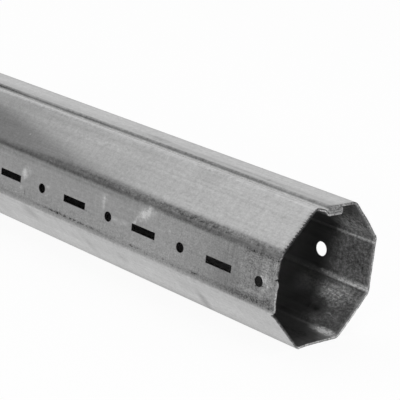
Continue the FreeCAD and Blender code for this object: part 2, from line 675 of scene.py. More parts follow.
# Painted highlights along the inside of the bends. Each row has a place across the strip, a half width
# and a strength
INSIDE_BEND_HIGHLIGHTS = (
    (-0.0366, 0.0006, 0.3),
    (-0.0122, 0.0008, 0.2),
    (0.0122, 0.0008, 0.2),
    (0.0366, 0.0008, 0.3),
    (0.0608, 0.0014, 0.1),
    (0.0867, 0.0021, 0.48),
    (0.0859, 0.0008, 0.35),
    (0.1074, 0.0007, 0.5),
    (0.1338, 0.0008, 0.3),
)

# Strength of the lighter zone at each mouth on the inside face of each flat, by place across
# the strip
MOUTH_ZONE_FLATS = (
    (-0.030, 0.8), (0.034, 0.8), (0.038, 0.0), (0.0605, 0.0), (0.0625, 0.45), (0.070, 0.5),
    (0.076, 0.8), (0.085, 0.9), (0.090, 0.88), (0.106, 0.88), (0.111, 1.25), (0.118, 1.6),
    (0.124, 0.8), (0.130, 0.4), (0.158, 0.4),
)

# Wear along the lower edge of the punched flat: near the end, and beyond
LOWER_EDGE_WEAR = (
    Zone(0.50, (0.0072, 0.0092, 0.0102, 0.0109), until(0.021, 0.034)),
    Zone(0.22, (0.0080, 0.0087, 0.0102, 0.0108), beyond(0.021, 0.034)),
)

# Painted shade on the upper front flat: it darkens past a slanted line, which passes a
# place across the strip at a distance from the punched end, and runs away from that end
# as it climbs. The loss of tone is full one rise past the line
SHADE_LINE_ACROSS = -0.016
SHADE_LINE_FROM_END = 0.075
SHADE_LINE_SLANT = 6.3
SHADE_LINE_RISE = 0.065
SHADE_LINE_LOSS = 0.345

# Fine streaks across the torn rim: their strength and pitch
STREAK_LOSS = 0.07
STREAK_PITCH = 0.0005

# Changes of tone outside: on the punched flat, the upper front flat, the lower front flat,
# the lap and its flank, the ramp under it, and the rim of the punched end. Some are painted
# shade and light: the punched flat darker towards its lower edge, the upper front flat
# darker away from the punched end, the bend below the lower front flat darker near that
# end, and the lap's flank lighter as a painted reflection
TONE_ZONES = (
    # Painted shade: the punched flat a little darker, and darker towards its lower edge
    Zone(-0.02, PUNCHED_FLAT),
    Zone(-0.12, (-0.009, 0.009, 0.0110, 0.0120)),
    Zone(-0.10, PUNCHED_FLAT, until(0.040, 0.064)),
    Zone(-0.05, (0.0, 0.006, 0.0110, 0.0120), until(0.040, 0.064)),
    Zone(-0.13, PUNCHED_FLAT, (0.005, 0.012, 0.028, 0.042)),
    Zone(-0.10, (-0.001, 0.002, 0.0110, 0.0120), until(0.004, 0.012)),
    Zone(-0.05, (0.002, 0.006, 0.0110, 0.0120), beyond(0.085, 0.105)),
    # Painted shade: the upper front flat darker, and darker still away from the punched end, easing
    # again past the tube's middle
    Zone(-0.045, UPPER_FLAT),
    Zone(-0.075, UPPER_FLAT, beyond(0.050, 0.105)),
    Zone(-0.12, UPPER_FLAT, beyond(0.120, 0.200)),
    Zone(0.084, UPPER_FLAT, beyond(0.24, 0.36)),
    Zone(-0.085, LOWER_FLAT),
    Zone(0.035, (0.020, 0.026, 0.0385, 0.0410)),
    # Painted shade on the bend below the lower front flat, more near the punched end
    Zone(-0.04, (0.031, 0.034, 0.0385, 0.0410)),
    Zone(-0.09, (0.0320, 0.0340, 0.0385, 0.0410), until(0.095, 0.130)),
    Zone(-0.10, LAP),
    Zone(-0.06, LAP, until(0.095, 0.130)),
    # Painted reflection: the lap's flank lighter, more so near the punched end
    Zone(0.42, LAP_FLANK),
    Zone(0.33, LAP_FLANK, until(0.110, 0.160)),
    Zone(0.03, (-0.0455, -0.0445, -0.0380, -0.0368)),
    Zone(-0.14, UPPER_FLAT, until(0.0006, 0.0020)),
    Zone(-0.14, TOP_FLAT, until(0.0006, 0.0020)),
    Zone(-0.35, HOOKED_RAMP, until(0.0005, 0.0013)),
)


@dataclass
class Tube:
    """The octagonal tube: one punched and bent strip, sawn to length."""

    section: StripSection = field(default_factory=StripSection)
    sawn_end: SawnEnd = field(default_factory=SawnEnd)
    length: float = TUBE_LENGTH
    hole_count: int = 10
    hole_pitch: float = 0.046
    first_hole_inset: float = 0.010
    hole_radius: float = 0.0021
    slot_length: float = 0.0145
    slot_width: float = 0.003
    row_drop: float = 0.001
    plug_hole_inset: float = 0.0288
    plug_hole_radius: float = 0.00325
    plug_hole_drop: float = 0.0014
    back_flat_middle: float = 0.0
    back_spring: float = 0.00078
    bottom_spring: float = 0.00035
    spring_reach: float = 0.120
    sprung_back: Edges = (0.0720, 0.0840, 0.1100, 0.1210)
    sprung_bottom: Edges = (0.0372, 0.0450, 0.0580, 0.0660)
    cell_margin: float = 0.006
    cell_slack: float = 0.0046
    cell_pieces: int = 24
    cell_columns: int = 2
    end_steps: tuple[float, ...] = (
        0.0, 0.00015, 0.0003, 0.0005, 0.0008, 0.0012, 0.0018, 0.0026, 0.0035,
    )
    ring_steps: tuple[float, ...] = (0.0, 0.025, 0.08, 0.2, 0.5, 1.0)
    sawn_depths: tuple[float, ...] = (0.0, 0.08, 0.25, 0.45, 0.65, 0.85, 1.0)
    punched_rim: tuple[tuple[float, float], ...] = (
        (0.00016, 0.0), (0.00005, 0.00005), (0.0, 0.00016),
        (0.0, 0.00088), (0.00003, 0.00097), (0.00008, 0.001),
    )

    def __post_init__(self) -> None:
        """Finds the middle of the back flat, the straight that starts furthest back."""
        run = max((r for r in self.section.runs if not r.curvature), key=lambda r: r.y)
        self.back_flat_middle = run.start + run.length / 2

    def punchings(self) -> list[Punching]:
        """Every punched hole, with the row's from the punched end.

        Returns:
            The round holes, the slots half-way between them and the plug screw hole.
        """
        first = self.length / 2 - self.first_hole_inset
        holes = [first - index * self.hole_pitch for index in range(self.hole_count)]
        slots = [(one + other) / 2 for one, other in zip(holes, holes[1:])]
        radius = self.hole_radius
        row = [Punching(HoleShape.ROUND, x, self.row_drop, radius, radius) for x in holes]
        half = (self.slot_length / 2, self.slot_width / 2)
        row += [Punching(HoleShape.SLOT, x, self.row_drop, *half) for x in slots]
        plug_x = self.length / 2 - self.plug_hole_inset
        plug_s = self.back_flat_middle - self.plug_hole_drop
        radius = self.plug_hole_radius
        return row + [Punching(HoleShape.ROUND, plug_x, plug_s, radius, radius)]

    def along_stations(self) -> np.ndarray:
        """Places along the tube where the mesh has a line of points, close at the ends.

        Returns:
            The stations from the far end to the punched one.
        """
        end = self.length / 2 - np.array(self.end_steps)
        step = self.hole_pitch / 2
        first = self.length / 2 - self.first_hole_inset - step / 2
        cells = first - step * np.arange(int(round(2 * first / step)) + 1)
        borders = np.concatenate([[end[-1]], cells, [-end[-1]]])
        columns = np.linspace(borders[:-1], borders[1:], self.cell_columns + 1).ravel()
        return np.unique(np.round(np.concatenate([end, -end, columns]), 9))

    def _skin(self, along: np.ndarray, across: np.ndarray, depth: float,
              rim: float) -> tuple[np.ndarray, np.ndarray]:
        """Faces of one side of the flat strip, with its holes left open.

        The strip is a grid of quads. Round each hole, a cell of the grid is replaced by
        rings that pass evenly from the hole's outline to the cell's border. The slack lets
        a hole stand a little past its cell's middle column.

        Args:
            along: Stations along the tube.
            across: Stations across the strip.
            depth: Depth of this side.
            rim: How far the holes' outlines stand back here.

        Returns:
            Quads, and the many-cornered faces above and below each cell.
        """
        xs, ss = np.meshgrid(along, across, indexing="ij")
        grid = np.stack([xs, ss], -1)
        quads = np.stack([grid[:-1, :-1], grid[1:, :-1], grid[1:, 1:], grid[:-1, 1:]], 2)
        keep = np.ones(quads.shape[:2], bool)
        patches = []
        borders = []
        for hole in self.punchings():
            left = int(np.searchsorted(along, hole.along - self.cell_slack)) - 1
            right = left + self.cell_columns
            low, high = hole.cell(across, self.cell_margin)
            keep[left:right, low - 1:high + 1] = False
            ticks = np.linspace(along[left], along[right], self.cell_pieces + 1)
            cell = rectangle(ticks, across[low:high + 1])
            hole_edge = hole.outline(rim, self.cell_pieces, high - low)
            share = np.array(self.ring_steps)[:, None, None]
            patches.append(rings(hole_edge * (1 - share) + cell * share))
            low_line = np.stack([ticks[::-1], np.full(len(ticks), across[low])], 1)
            high_line = np.stack([ticks, np.full(len(ticks), across[high])], 1)
            borders.append(np.concatenate([grid[left:right + 1, low - 1], low_line]))
            borders.append(np.concatenate([high_line, grid[left:right + 1, high + 1][::-1]]))
        quads = np.concatenate([quads[keep]] + patches)
        return at_depth(quads, depth), at_depth(np.array(borders), depth)

    def _walls(self, along: np.ndarray, across: np.ndarray) -> tuple[np.ndarray, np.ndarray]:
        """Cut faces through the wall: the strip's own border and each hole's edge.

        A closed outline is carried from the outside face to the inside one, with its
        inset at each depth taken from the rim's profile.

        Args:
            along: Stations along the tube.
            across: Stations across the strip.

        Returns:
            Quads of the border and quads of the holes.
        """
        border = rectangle(along, across)
        wall = self.section.wall
        loops = np.stack([at_depth(border, share * wall) for share in self.sawn_depths])
        sawn = rings(loops)[:, ::-1]
        punched = []
        for hole in self.punchings():
            low, high = hole.cell(across, self.cell_margin)
            rim = [at_depth(hole.outline(inset, self.cell_pieces, high - low), depth)
                   for inset, depth in self.punched_rim]
            punched.append(rings(np.stack(rim)))
        return sawn, np.concatenate(punched)

    def _wear_and_painted_light(self, place: np.ndarray) -> np.ndarray:
        """Marks of the rolls over the bends: dark wear outside, with painted shade on the bend below
        the lower front flat, and painted highlights along the bends inside.

        The band over the upper front bend rises smoothly from its upper edge and falls
        over its lower one, which climbs away from the bend towards the punched end. The
        ridge of the bend is a little cleaner, and far from the end a darker strip lies below it.

        Args:
            place: Rows of along, across and depth.

        Returns:
            Wear, painted shade and painted highlights from 0 to 1 for each row.
        """
        along, across, depth = place.T
        gone = self.length / 2 - along
        band = np.array(ROLL_BAND).T
        low, top, high, worn, on_front = (np.interp(gone, band[0], column) for column in band[1:])
        soft = ROLL_BAND_SOFTNESS
        outside = worn * smooth_step(high, top, across) * smooth_step(low + soft, low - soft, across)
        outside *= 1 - on_front * smooth_step(-0.0126, -0.0120, across)
        outside *= 1 + CLEAN_RIDGE.spread(across, gone)
        outside += DARK_STRIP_BELOW_RIDGE.spread(across, gone) * (1 - outside)
        outside += total_of(LOWER_EDGE_WEAR, across, gone) + bands(WORN_AND_SHADED_BENDS, BEND_BAND_CORE, across)
        lap = LAP_FOLD_DARKENING + LAP_FOLD_DARKENING_CHANGE * wander(gone, LAP_FOLD_DARKENING_PITCH, 31)
        lap *= smooth_step(0.1487, 0.1495, across)
        past_edge = across - np.interp(gone, *LAP_EDGE)
        outside += lap * smooth_step(LAP_FOLD_DARKENING_SOFTNESS, -LAP_FOLD_DARKENING_SOFTNESS, past_edge)
        inside = bands(INSIDE_BEND_HIGHLIGHTS, HIGHLIGHT_CORE, across)
        return np.where(depth < 0.5 * self.section.wall, np.clip(outside, 0.0, 1.05), inside)

    def _shade(self, place: np.ndarray) -> np.ndarray:
        """Slow change of tone from flat to flat and along the tube, part of it painted shade and
        light, and the inside's lighter zone at the mouth.

        Besides the zones, painted shade darkens the upper front flat from a slanted line on,
        and fine streaks cross the torn rim.

        Args:
            place: Rows of along, across and depth.

        Returns:
            Factor for the coating's tone, about 1, and for the lighter zone on the inside at the mouth.
        """
        along, across, depth = place.T
        gone = self.length / 2 - along
        # Painted shade on the upper front flat, from a slanted line on
        shade_line_from = SHADE_LINE_FROM_END + SHADE_LINE_SLANT * (SHADE_LINE_ACROSS - across)
        painted_shade = SHADE_LINE_LOSS * smooth_step(-0.0352, -0.0265, across)
        painted_shade *= smooth_step(0.0, SHADE_LINE_RISE, gone - shade_line_from)
        painted_shade *= window(UPPER_FLAT, across) * (1 - 0.35 * smooth_step(0.24, 0.36, gone))
        torn = window(UPPER_FLAT, across) + window(TOP_FLAT, across)
        streaks = STREAK_LOSS * torn * wander(across, STREAK_PITCH, 43)
        streaks *= smooth_step(0.0030, 0.0012, gone)
        outside = 1 + total_of(TONE_ZONES, across, gone) - painted_shade - streaks
        mouth_zone_strength = np.interp(across, *np.array(MOUTH_ZONE_FLATS).T)
        return np.where(depth < 0.5 * self.section.wall, outside, mouth_zone_strength)

    def build(self) -> bpy.types.Object:
        """Makes the tube's mesh and object, with its place on the strip as an attribute.

        Returns:
            The tube, without materials.
        """
        along = self.along_stations()
        across = self.section.stations()
        wall = self.section.wall
        outside, outside_borders = self._skin(along, across, 0.0, self.punched_rim[0][0])
        inside, inside_borders = self._skin(along, across, wall, self.punched_rim[-1][0])
        sawn, punched = self._walls(along, across)
        groups = [
            (outside[:, ::-1], Cut.ROLLED_OUTSIDE),
            (outside_borders[:, ::-1], Cut.ROLLED_OUTSIDE),
            (inside, Cut.ROLLED_INSIDE),
            (inside_borders, Cut.ROLLED_INSIDE),
            (sawn, Cut.SAWN),
            (punched, Cut.PUNCHED),
        ]
        corners = np.concatenate([faces.reshape(-1, 3) for faces, _ in groups])
        totals = np.concatenate([np.full(len(faces), faces.shape[1]) for faces, _ in groups])
        finish = np.concatenate([np.full(len(faces), cut.value) for faces, cut in groups])
        keys, index = np.unique(np.round(corners / WELD).astype(np.int64), axis=0, return_inverse=True)
        place = keys * WELD
        points = self._bent(place)
        starts = np.concatenate([[0], np.cumsum(totals)[:-1]])

        mesh = bpy.data.meshes.new("steel_tube")
        mesh.vertices.add(len(points))
        mesh.vertices.foreach_set("co", points.astype(np.float32).ravel())
        mesh.loops.add(len(corners))
        mesh.loops.foreach_set("vertex_index", index.ravel().astype(np.int32))
        mesh.polygons.add(len(totals))
        for key, values in (("loop_start", starts), ("loop_total", totals), ("material_index", finish)):
            mesh.polygons.foreach_set(key, values.astype(np.int32))
        mesh.polygons.foreach_set("use_smooth", np.ones(len(totals), bool))
        mesh.update(calc_edges=True)
        mesh.set_sharp_from_angle(angle=SHARP_ANGLE)
        values_by_name = {
            PLACE_ATTRIBUTE: place,
            WEAR_AND_PAINTED_LIGHT_ATTRIBUTE: self._wear_and_painted_light(place),
            SHADE_ATTRIBUTE: self._shade(place),
            CUT_ATTRIBUTE: self.sawn_end.tone(place[:, 1], place[:, 2] / wall),
        }
        for name, values in values_by_name.items():
            kind, key = ("FLOAT", "value") if values.ndim == 1 else ("FLOAT_VECTOR", "vector")
            mesh.attributes.new(name, kind, "POINT")
            mesh.attributes[name].data.foreach_set(key, values.astype(np.float32).ravel())
        triangles = int((totals - 2).sum())
        LOG.info("steel_tube: %d points, %d faces, %d triangles", len(points), len(totals), triangles)
        return placed("steel_tube", mesh)

    def _bent(self, place: np.ndarray) -> np.ndarray:
        """Bends the strip into the tube, tears its sawn ends and springs the punched one.

        A cut end of rolled sheet springs a little out of shape. Here the back flat and the
        bottom one move inwards, by an amount that falls smoothly to 0 along the tube.

        Args:
            place: Rows of along, across and depth.

        Returns:
            Rows of X, Y and Z.
        """
        along, across, depth = place.T
        half = self.length / 2
        share = depth / self.section.wall
        reach = self.sawn_end.reach
        near = smooth_step(half - reach, half, along) * self.sawn_end.set_back(across, share, 1)
        far = smooth_step(reach - half, -half, along) * self.sawn_end.set_back(across, share, -1)
        y, z = self.section.locate(across, depth)
        sprung = smooth_step(half - self.spring_reach, half, along)
        y = y - self.back_spring * window(self.sprung_back, across) * sprung
        z = z + self.bottom_spring * window(self.sprung_bottom, across) * sprung
        return np.stack([along - near + far, y, z], 1)


@dataclass(frozen=True)
class Mark:
    """A smudge or rub on the outside, or a painted highlight or patch of painted light, light above 0
    and dark below.

    A dotted one is straight, and a fine noise breaks it into specks.
    """

    from_end: float
    across: float
    half_length: float
    half_width: float
    turn: float
    strength: float
    dotted: bool = False


# Rubs and smudges that handling left, and painted highlights round the rim of the hole nearest
# the punched end: on the punched flat, the lower front flat, the upper front flat and the
# top flat, in that order
MARKS = (
    Mark(0.1612, -0.0022, 0.0026, 0.0040, 10.0, 0.72),
    Mark(0.1590, -0.0040, 0.0046, 0.0034, 0.0, 0.28),
    Mark(0.1630, 0.0045, 0.0028, 0.0015, 20.0, 0.25),
    Mark(0.1435, -0.0006, 0.0020, 0.0014, 0.0, 0.25),
    Mark(0.1445, 0.0035, 0.0022, 0.0010, 0.0, 0.20),
    Mark(0.1053, -0.0072, 0.0028, 0.0020, 0.0, 0.32),
    Mark(0.1054, -0.0042, 0.0018, 0.0048, 6.0, 0.38),
    Mark(0.0972, 0.0010, 0.0036, 0.0018, 10.0, 0.26),
    Mark(0.0920, 0.0004, 0.0056, 0.0016, -3.0, 0.26),
    Mark(0.0788, -0.0068, 0.0066, 0.0030, -41.0, 0.66),
    Mark(0.0775, -0.0076, 0.0080, 0.0048, -35.0, 0.32),
    Mark(0.0843, -0.0027, 0.0042, 0.0014, -50.0, 0.40),
    Mark(0.0757, -0.0098, 0.0026, 0.0015, -20.0, 0.34),
    Mark(0.0630, -0.0033, 0.0011, 0.0020, 0.0, 0.16),
    Mark(0.0066, -0.0003, 0.0016, 0.0024, -20.0, 0.50),
    Mark(0.0051, 0.0018, 0.0008, 0.0025, -10.0, 0.52),
    Mark(0.0034, 0.0024, 0.0009, 0.0013, 0.0, -0.45),
    Mark(0.0016, -0.0052, 0.0006, 0.0013, 0.0, -0.40),
    Mark(0.0066, 0.0039, 0.0028, 0.0016, -25.0, 0.52),
    Mark(0.0030, 0.0030, 0.0016, 0.0050, 0.0, 0.25),
    Mark(0.0150, 0.0061, 0.0150, 0.0009, 0.0, 0.40),
    Mark(0.1600, 0.0066, 0.0006, 0.0018, 0.0, -0.45),
    Mark(0.1168, 0.0023, 0.0013, 0.0008, 0.0, -0.55),
    Mark(0.0720, 0.0030, 0.0020, 0.0006, 0.0, -0.30),
    Mark(0.1275, 0.0093, 0.0300, 0.0010, 0.0, -0.75, True),
    Mark(0.1360, 0.0086, 0.0120, 0.0013, 0.0, -0.30, True),
    Mark(0.0840, 0.0092, 0.0060, 0.0008, 0.0, -0.80, True),
    Mark(0.0655, 0.0093, 0.0016, 0.0008, 0.0, -0.60),
    Mark(0.0460, 0.0091, 0.0036, 0.0009, 0.0, -0.70),
    Mark(0.0438, 0.0072, 0.0006, 0.0020, 0.0, -0.40),
    Mark(0.0120, -0.0108, 0.0170, 0.0006, 0.0, -0.30, True),
    Mark(0.0028, -0.0050, 0.0034, 0.0056, 0.0, -0.22),
    Mark(0.0046, 0.0073, 0.0036, 0.0022, 0.0, -0.45),
    # Painted highlights: bright arcs round the rim of the hole nearest the punched end
    Mark(0.0077, 0.0008, 0.0006, 0.0018, 0.0, 1.10, True),
    Mark(0.0083, -0.0007, 0.0018, 0.0007, 45.0, 1.70, True),
    Mark(0.0097, -0.0015, 0.0016, 0.0006, 0.0, 1.30, True),
    Mark(0.0081, 0.0026, 0.0009, 0.0006, -35.0, -0.90),
    Mark(0.0112, 0.0037, 0.0013, 0.0008, 0.0, -0.55),
    Mark(0.1300, 0.0225, 0.0055, 0.0038, 25.0, -0.12),
    Mark(0.1210, 0.0240, 0.0050, 0.0160, 0.0, -0.13),
    Mark(0.1830, 0.0170, 0.0060, 0.0045, 0.0, -0.10),
    Mark(0.1310, 0.0270, 0.0045, 0.0045, 0.0, 0.08),
    Mark(0.0975, 0.0225, 0.0044, 0.0060, 15.0, -0.17),
    Mark(0.0495, 0.0280, 0.0044, 0.0125, 4.0, -0.36),
    Mark(0.0565, 0.0225, 0.0070, 0.0060, 0.0, -0.11),
    Mark(0.1860, 0.0270, 0.0070, 0.0090, 0.0, -0.12),
    Mark(0.1590, 0.0165, 0.0085, 0.0070, 0.0, -0.29),
    Mark(0.1400, 0.0270, 0.0120, 0.0050, 0.0, 0.06),
    Mark(0.0800, 0.0220, 0.0070, 0.0060, 10.0, 0.09),
    Mark(0.0280, 0.0260, 0.0160, 0.0070, 0.0, 0.04),
    Mark(0.0590, -0.0325, 0.0130, 0.0065, 0.0, -0.11),
    Mark(0.1300, -0.0303, 0.1100, 0.0019, 0.0, 0.09),
    Mark(0.0300, -0.0285, 0.0500, 0.0008, 0.0, -0.10),
    Mark(0.1500, -0.0333, 0.0900, 0.0010, 0.0, -0.08),
    Mark(0.1680, -0.0206, 0.0010, 0.0006, 0.0, 0.55),
    Mark(0.1440, -0.0128, 0.0012, 0.0005, 0.0, 0.40),
    Mark(0.1200, -0.0124, 0.0014, 0.0005, 0.0, 0.35),
    Mark(0.0950, -0.0128, 0.0016, 0.0005, 0.0, 0.30),
    Mark(0.1600, -0.0361, 0.0500, 0.0010, 0.0, -0.25, True),
    Mark(0.0600, -0.0361, 0.0250, 0.0010, 0.0, -0.25, True),
    Mark(0.1070, 0.1442, 0.0150, 0.0022, 0.0, -0.30),
    Mark(0.1050, 0.1470, 0.0200, 0.0016, 0.0, -0.30, True),
    Mark(0.0450, 0.1460, 0.0450, 0.0007, 0.0, -0.12),
    Mark(0.0383, 0.1462, 0.0011, 0.0015, 0.0, -0.45),
    Mark(0.0290, 0.1470, 0.0070, 0.0011, 5.0, -0.30, True),
    Mark(0.0540, 0.1455, 0.0120, 0.0010, 0.0, -0.22, True),
)

# Marks on the inside at the mouth, on the bottom flat and the three flats behind it: rubs,
# and bright patches over the lower back bend and on the upper back flat that are painted
# light falling in at the mouth
INSIDE_MARKS = (
    # Painted light falling in at the mouth: bright patches on and beside the lower back bend
    Mark(0.0076, 0.0600, 0.0094, 0.0036, 0.0, 2.75),
    Mark(0.0006, 0.0590, 0.0050, 0.0034, 0.0, 1.10),
    Mark(0.0060, 0.0595, 0.0100, 0.0062, 0.0, 0.90),
    Mark(0.0060, 0.0660, 0.0070, 0.0050, 0.0, 0.30),
    Mark(0.0178, 0.0680, 0.0072, 0.0095, 0.0, -0.50),
    Mark(0.0000, 0.0560, 0.0075, 0.0100, 0.0, 0.50),
    Mark(0.0130, 0.0480, 0.0180, 0.0130, 0.0, -0.16),
    Mark(0.0140, 0.0795, 0.0155, 0.0066, 0.0, 1.35),
    Mark(0.0300, 0.0800, 0.0110, 0.0090, 0.0, 0.35),
    Mark(0.0240, 0.0868, 0.0090, 0.0014, 0.0, 0.80),
    Mark(0.0010, 0.0862, 0.0070, 0.0014, 0.0, -0.50),
    Mark(0.0110, 0.0745, 0.0060, 0.0030, 0.0, 0.45),
    Mark(0.0260, 0.0880, 0.0016, 0.0008, 0.0, 0.80),
    Mark(0.0135, 0.0660, 0.0040, 0.0006, 20.0, 0.70),
    Mark(0.0100, 0.0690, 0.0035, 0.0006, -15.0, 0.60),
    # Painted light falling in at the mouth: a bright patch on the upper back flat
    Mark(0.0105, 0.1130, 0.0110, 0.0070, 0.0, 0.45),
)


@dataclass
class Shader:
    """Short ways to add nodes to one material or world."""

    tree: bpy.types.NodeTree

    @classmethod
    def on(cls, owner: bpy.types.Material | bpy.types.World) -> "Shader":
        """Clears the nodes of a new material or world, ready for its own."""
        owner.use_nodes = True
        owner.node_tree.nodes.clear()
        return cls(owner.node_tree)

    def node(self, kind: str, settings: dict | None = None,
             inputs: dict | None = None) -> bpy.types.Node:
        """Adds a node.

        Args:
            kind: Node type, without its ShaderNode prefix.
            settings: Values of the node's own options.
            inputs: Values or sockets for its inputs, by name or number.

        Returns:
            The node.
        """
        node = self.tree.nodes.new("ShaderNode" + kind)
        for name, value in (settings or {}).items():
            setattr(node, name, value)
        for name, value in (inputs or {}).items():
            if isinstance(value, Socket):
                self.tree.links.new(value, node.inputs[name])
            else:
                node.inputs[name].default_value = value
        return node

    def attribute(self, name: str, output: str = "Fac") -> Socket:
        """One of the values that the mesh carries."""
        return self.node("Attribute", {"attribute_name": name}).outputs[output]

    def parts(self, vector: Input) -> bpy.types.bpy_prop_collection:
        """X, Y and Z of a vector."""
        return self.node("SeparateXYZ", inputs={0: vector}).outputs

    def maths(self, operation: str, *values: Input) -> Socket:
        """Result of one arithmetic step on numbers or sockets."""
        return self.node("Math", {"operation": operation}, dict(enumerate(values))).outputs[0]

    def vector(self, operation: str, inputs: dict, output: int | str = 0) -> Socket:
        """Result of one arithmetic step on vectors."""
        return self.node("VectorMath", {"operation": operation}, inputs).outputs[output]

    def total(self, *values: Input) -> Socket:
        """Sum of numbers or sockets, in order."""
        return reduce(lambda one, other: self.maths("ADD", one, other), values)

    def product(self, *values: Input) -> Socket:
        """Product of numbers or sockets, in order."""
        return reduce(lambda one, other: self.maths("MULTIPLY", one, other), values)

    def largest(self, *values: Input) -> Socket:
        """Largest of numbers or sockets."""
        return reduce(lambda one, other: self.maths("MAXIMUM", one, other), values)

    def line(self, value: Input, slope: float, level: float) -> Socket:
        """A value times a slope, plus a level."""
        return self.maths("MULTIPLY_ADD", value, slope, level)

    def rise(self, value: Input, low: float, high: float, bottom: float = 0.0,
             top: float = 1.0) -> Socket:
        """Smooth step of a value from low to high, between a bottom and a top."""
        inputs = {"Value": value, "From Min": low, "From Max": high, "To Min": bottom, "To Max": top}
        return self.node("MapRange", {"interpolation_type": "SMOOTHSTEP"}, inputs).outputs["Result"]

    def fall(self, value: Input, low: float, high: float) -> Socket:
        """Smooth step of a value down from 1 at low to 0 at high."""
        return self.rise(value, low, high, 1.0, 0.0)

    def noise(self, place: Input, scale: Triple, detail: float = 3.0,
              rough: float = 0.5, offset: float = 0.0) -> Socket:
        """Noise on stretched places.

        Args:
            place: Socket of the places.
            scale: Cells per metre in each direction.
            detail: Number of finer layers.
            rough: Share of each finer layer.
            offset: Shift that sets this noise apart from another.

        Returns:
            Noise, about 0.5 in the middle.
        """
        inputs = {"Vector": place, "Scale": scale, "Location": (offset, offset * 0.7, offset * 0.3)}
        mapped = self.node("Mapping", {"vector_type": "POINT"}, inputs).outputs[0]
        inputs = {"Vector": mapped, "Scale": 1.0, "Detail": detail, "Roughness": rough}
        return self.node("TexNoise", {"noise_dimensions": "3D"}, inputs).outputs[0]

    def swing(self, noise: Input, amount: float) -> Socket:
        """Centres a noise on 0 and gives it an amount."""
        return self.product(self.maths("SUBTRACT", noise, 0.5), 2 * amount)

    def pushed(self, place: Input, scale: float, reach: float) -> Socket:
        """Places pushed about by three noises less one half each, for ragged edges.

        Args:
            place: Socket of the places.
            scale: Cells of the noise per metre.
            reach: Twice the furthest push in each direction.

        Returns:
            The pushed places.
        """
        inputs = {"Vector": place, "Scale": scale, "Detail": 2.0}
        colour = self.node("TexNoise", {"noise_dimensions": "3D"}, inputs).outputs["Color"]
        centred = self.vector("SUBTRACT", {0: colour, 1: (0.5, 0.5, 0.5)})
        return self.vector("ADD", {0: place, 1: self.vector("SCALE", {0: centred, "Scale": reach})})

    def rubs(self, place: Input, marks: Iterable[Mark]) -> Socket:
        """Sum of soft-edged marks, each an ellipse that fades smoothly to its rim.

        Args:
            place: Socket of the places.
            marks: The marks.

        Returns:
            Change of tone.
        """
        total = 0.0
        for mark in marks:
            inputs = {
                "Vector": place,
                "Location": (MOUTH - mark.from_end, mark.across, 0.0),
                "Rotation": (0.0, 0.0, math.radians(mark.turn)),
                "Scale": (mark.half_length, mark.half_width, 1.0),
            }
            local = self.node("Mapping", {"vector_type": "TEXTURE"}, inputs).outputs[0]
            flat = self.vector("MULTIPLY", {0: local, 1: (1.0, 1.0, 0.0)})
            distance = self.vector("LENGTH", {0: flat}, "Value")
            total = self.total(total, self.rise(distance, 0.0, 1.0, mark.strength, 0.0))
        return total


@dataclass(frozen=True)
class Pattern:
    """What a finish can vary over its surface."""

    tone: Input
    height: Input
    roughness: Input


@dataclass(frozen=True)
class MetalFinish:
    """A metal surface: one colour times a tone, with fine bumps."""

    name: str
    colour: Triple
    metallic: float
    roughness: float
    bump_strength: float = 0.15
    bump_height: float = 0.0002

    def pattern(self, s: Shader) -> Pattern:
        """Works out what varies. Each finish has its own."""
        raise NotImplementedError

    def material(self) -> bpy.types.Material:
        """Builds the material.

        Returns:
            The material.
        """
        material = bpy.data.materials.new(self.name)
        s = Shader.on(material)
        pattern = self.pattern(s)
        bump = {"Height": pattern.height, "Strength": self.bump_strength, "Distance": self.bump_height}
        inputs = {
            "Base Color": s.vector("SCALE", {0: self.colour, "Scale": pattern.tone}),
            "Metallic": self.metallic,
            "Roughness": pattern.roughness,
            "Normal": s.node("Bump", inputs=bump).outputs[0],
        }
        shader = s.node("BsdfPrincipled", inputs=inputs).outputs[0]
        s.node("OutputMaterial", inputs={"Surface": shader})
        return material


